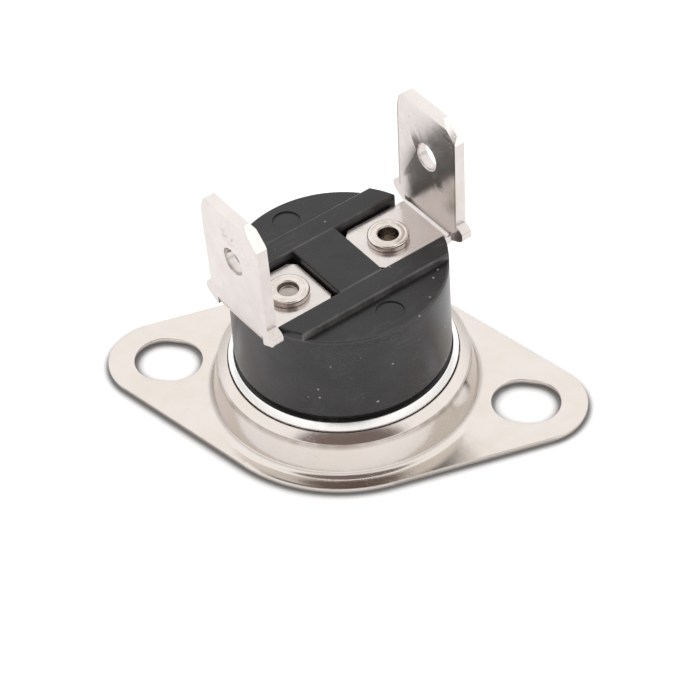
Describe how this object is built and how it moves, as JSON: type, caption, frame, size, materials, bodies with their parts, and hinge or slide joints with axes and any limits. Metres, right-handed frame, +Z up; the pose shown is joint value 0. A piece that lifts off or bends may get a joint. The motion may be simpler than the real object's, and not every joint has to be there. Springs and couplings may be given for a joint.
{
  "type": "bimetal thermostat",
  "caption": "Snap-disc temperature switch in a round moulded case, with a sensing cap, a loose slotted mounting flange and upright blade terminals.",
  "frame": {"origin": "centre of the bottom, on the table under the middle of the flange and the cap's sensing face", "axes": "+X along the flange through both slots, +Z up out of the sensing cap towards the blade tips; the switch's own line through both rivets is turned 49.2 degrees from +X"},
  "size_m": [0.034, 0.0208, 0.021],
  "materials": {
    "nickel_plated_steel": "satin nickel plating",
    "plated_terminal_metal": "satin nickel plating with handling marks",
    "bright_aluminium": "bright drawn",
    "black_phenolic": "moulded satin black",
    "white_ceramic": "unglazed ceramic",
    "bimetal_sheet": "rolled bimetal",
    "spring_bronze": "rolled bronze",
    "contact_silver": "bright silver"
  },
  "bodies": {
    "switch": {"sensing_cap": "bright_aluminium", "bimetal_disc": "bimetal_sheet", "pin_guide": "black_phenolic", "body": "black_phenolic", "terminal_right": "plated_terminal_metal", "terminal_left": "plated_terminal_metal", "rivet_right": "plated_terminal_metal", "rivet_left": "plated_terminal_metal", "arm_root": "spring_bronze", "contact_carrier": "spring_bronze", "fixed_contact": "contact_silver"},
    "flange": {"mounting_flange": "nickel_plated_steel"},
    "pin": {"push_pin": "white_ceramic"},
    "arm": {"contact_arm": "spring_bronze", "moving_contact": "contact_silver"}
  },
  "joints": [
    {"name": "flange_swivel", "type": "hinge", "parent": "switch", "child": "flange", "pos_m": [0, 0, 0], "axis": [0, 0, 1], "continuous": true},
    {"name": "pin_slide", "type": "slide", "parent": "switch", "child": "pin", "axis": [0, 0, 1], "range_m": [0, 0.0003], "stiffness_N_per_m": 300, "springref_m": -0.0005, "deforming": ["bimetal_disc"]},
    {"name": "arm_hinge", "type": "hinge", "parent": "switch", "child": "arm", "pos_m": [-0.0017, -0.00197, 0.00775], "axis": [0.757, -0.6534, 0], "range_deg": [0, 6.65]}
  ],
  "couplings": [
    {"joint": "arm_hinge", "follows": "pin_slide", "rad_per_m": 384.62}
  ]
}
